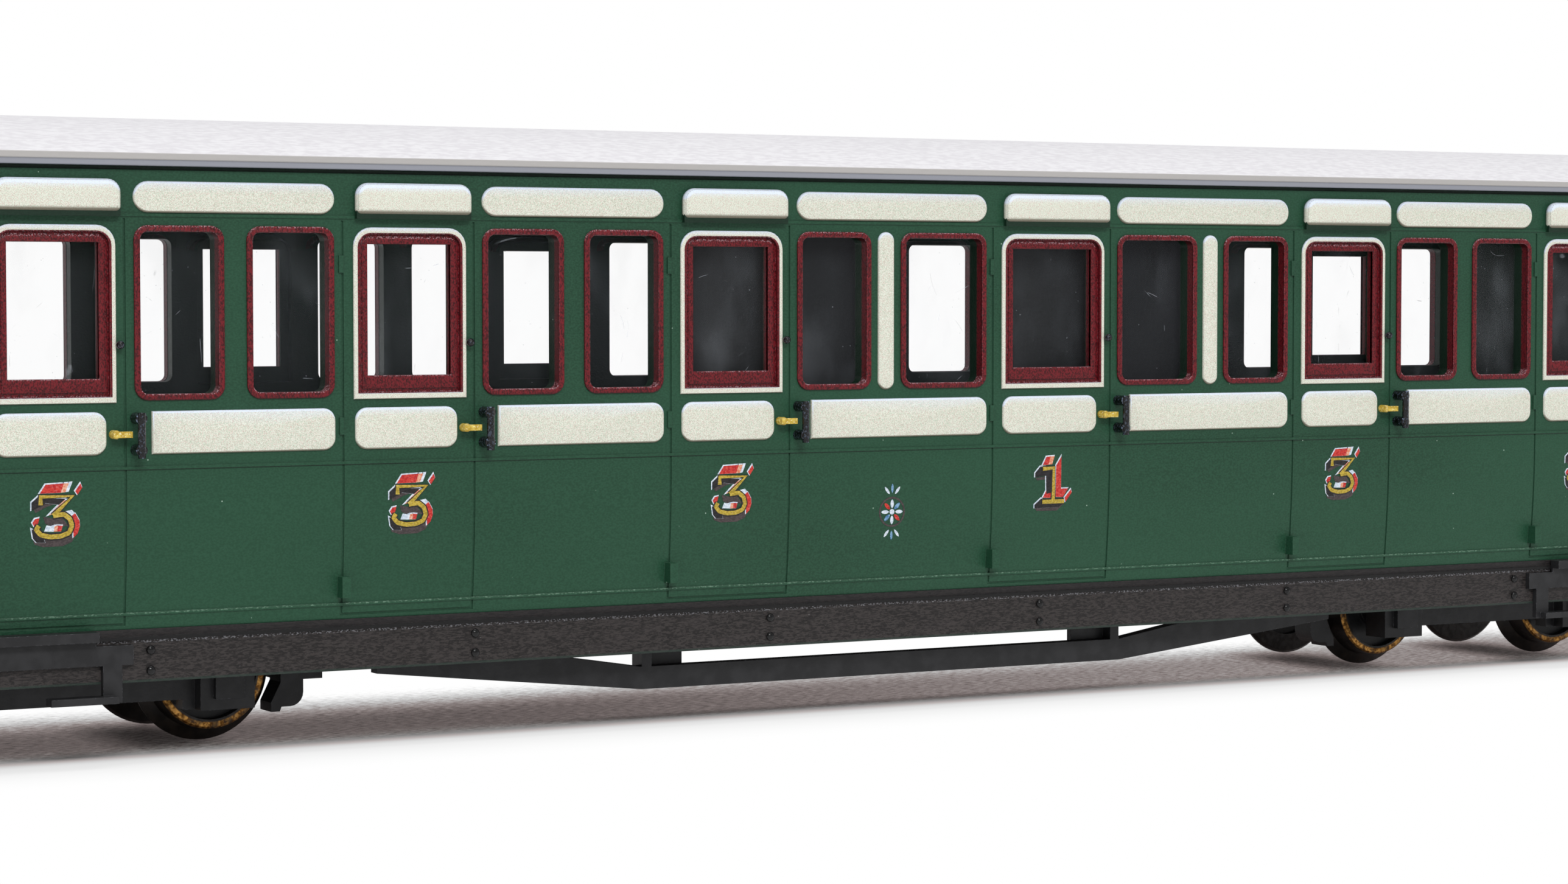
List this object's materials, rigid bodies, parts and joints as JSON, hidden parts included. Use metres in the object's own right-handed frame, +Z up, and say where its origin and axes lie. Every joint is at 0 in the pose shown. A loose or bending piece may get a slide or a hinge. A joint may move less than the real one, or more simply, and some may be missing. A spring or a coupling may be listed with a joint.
{
  "type": "model railway passenger coach",
  "caption": "Narrow-gauge bogie compartment coach for model railways, with panelled sides, hinged coupling loops and turning bogies.",
  "frame": {"origin": "bottom centre of the whole coach, on the plane of the wheel flanges", "axes": "+X towards the end with the first-class compartment nearer, +Y away from the near side, +Z up"},
  "size_m": [0.1324, 0.0272, 0.0332],
  "materials": {
    "body_green": "satin painted green",
    "roof_grey": "fine textured light grey",
    "clear_glazing": "clear polystyrene",
    "interior_black": "charcoal",
    "underframe_black": "black with wood grain",
    "chassis_black": "black",
    "rail_black": "gloss black",
    "handle_gold": "gold paint",
    "bright_steel": "bright",
    "bearing_brass": "turned brass",
    "wheel_black": "black",
    "tyre_brass": "chemically darkened",
    "coupling_black": "black",
    "coupling_steel": "blackened wire",
    "panel_cream": "printed cream",
    "frame_maroon": "printed maroon",
    "numeral_print": "printed gold with shading"
  },
  "bodies": {
    "coach_body": {"body_shell": "body_green", "roof": "roof_grey", "glazing_near": "clear_glazing", "glazing_far": "clear_glazing", "interior_seats": "interior_black", "partition_rear": "interior_black", "partition_front": "interior_black", "ballast_plate": "bright_steel", "underframe": "underframe_black", "truss_near": "chassis_black", "truss_far": "chassis_black", "step_rear_near": "chassis_black", "step_rear_far": "chassis_black", "step_front_near": "chassis_black", "step_front_far": "chassis_black", "handrails_near": "rail_black", "handrails_far": "rail_black", "door_handles_near": "handle_gold", "door_handles_far": "handle_gold", "grab_knobs_near": "rail_black", "grab_knobs_far": "rail_black", "end_steps_rear": "rail_black", "end_steps_front": "rail_black", "vacuum_pipe_rear": "rail_black", "vacuum_pipe_front": "rail_black", "lamp_irons_rear": "rail_black", "lamp_irons_front": "rail_black", "pivot_screw_rear": "bright_steel", "pivot_screw_front": "bright_steel", "pivot_washer_rear": "bearing_brass", "pivot_washer_front": "bearing_brass"},
    "bogie_rear": {"bogie_frame_rear": "chassis_black", "bearings_rear": "bearing_brass", "coupling_hook_rear": "coupling_black", "loop_pin_rear": "bright_steel"},
    "bogie_front": {"bogie_frame_front": "chassis_black", "bearings_front": "bearing_brass", "coupling_hook_front": "coupling_black", "loop_pin_front": "bright_steel"},
    "loop_rear": {"coupling_loop_rear": "coupling_steel"},
    "loop_front": {"coupling_loop_front": "coupling_steel"},
    "wheelset_1": {"axle_1": "bright_steel", "wheel_discs_1": "wheel_black", "tyres_1": "tyre_brass"},
    "wheelset_2": {"axle_2": "bright_steel", "wheel_discs_2": "wheel_black", "tyres_2": "tyre_brass"},
    "wheelset_3": {"axle_3": "bright_steel", "wheel_discs_3": "wheel_black", "tyres_3": "tyre_brass"},
    "wheelset_4": {"axle_4": "bright_steel", "wheel_discs_4": "wheel_black", "tyres_4": "tyre_brass"}
  },
  "joints": [
    {"name": "bogie_rear_swivel", "type": "hinge", "parent": "coach_body", "child": "bogie_rear", "pos_m": [-0.0468, 0, 0.00485], "axis": [0, 0, 1], "range_deg": [-12, 12]},
    {"name": "bogie_front_swivel", "type": "hinge", "parent": "coach_body", "child": "bogie_front", "pos_m": [0.0468, 0, 0.00485], "axis": [0, 0, 1], "range_deg": [-12, 12]},
    {"name": "wheelset_1_spin", "type": "hinge", "parent": "bogie_rear", "child": "wheelset_1", "pos_m": [-0.0542, 0, 0.0038], "axis": [0, 1, 0], "continuous": true},
    {"name": "wheelset_2_spin", "type": "hinge", "parent": "bogie_rear", "child": "wheelset_2", "pos_m": [-0.0394, 0, 0.0038], "axis": [0, 1, 0], "continuous": true},
    {"name": "wheelset_3_spin", "type": "hinge", "parent": "bogie_front", "child": "wheelset_3", "pos_m": [0.0394, 0, 0.0038], "axis": [0, 1, 0], "continuous": true},
    {"name": "wheelset_4_spin", "type": "hinge", "parent": "bogie_front", "child": "wheelset_4", "pos_m": [0.0542, 0, 0.0038], "axis": [0, 1, 0], "continuous": true},
    {"name": "loop_rear_lift", "type": "hinge", "parent": "bogie_rear", "child": "loop_rear", "pos_m": [-0.06189, 0, 0.0045], "axis": [0, 1, 0], "range_deg": [0, 35]},
    {"name": "loop_front_lift", "type": "hinge", "parent": "bogie_front", "child": "loop_front", "pos_m": [0.06189, 0, 0.0045], "axis": [0, -1, 0], "range_deg": [0, 35]}
  ]
}
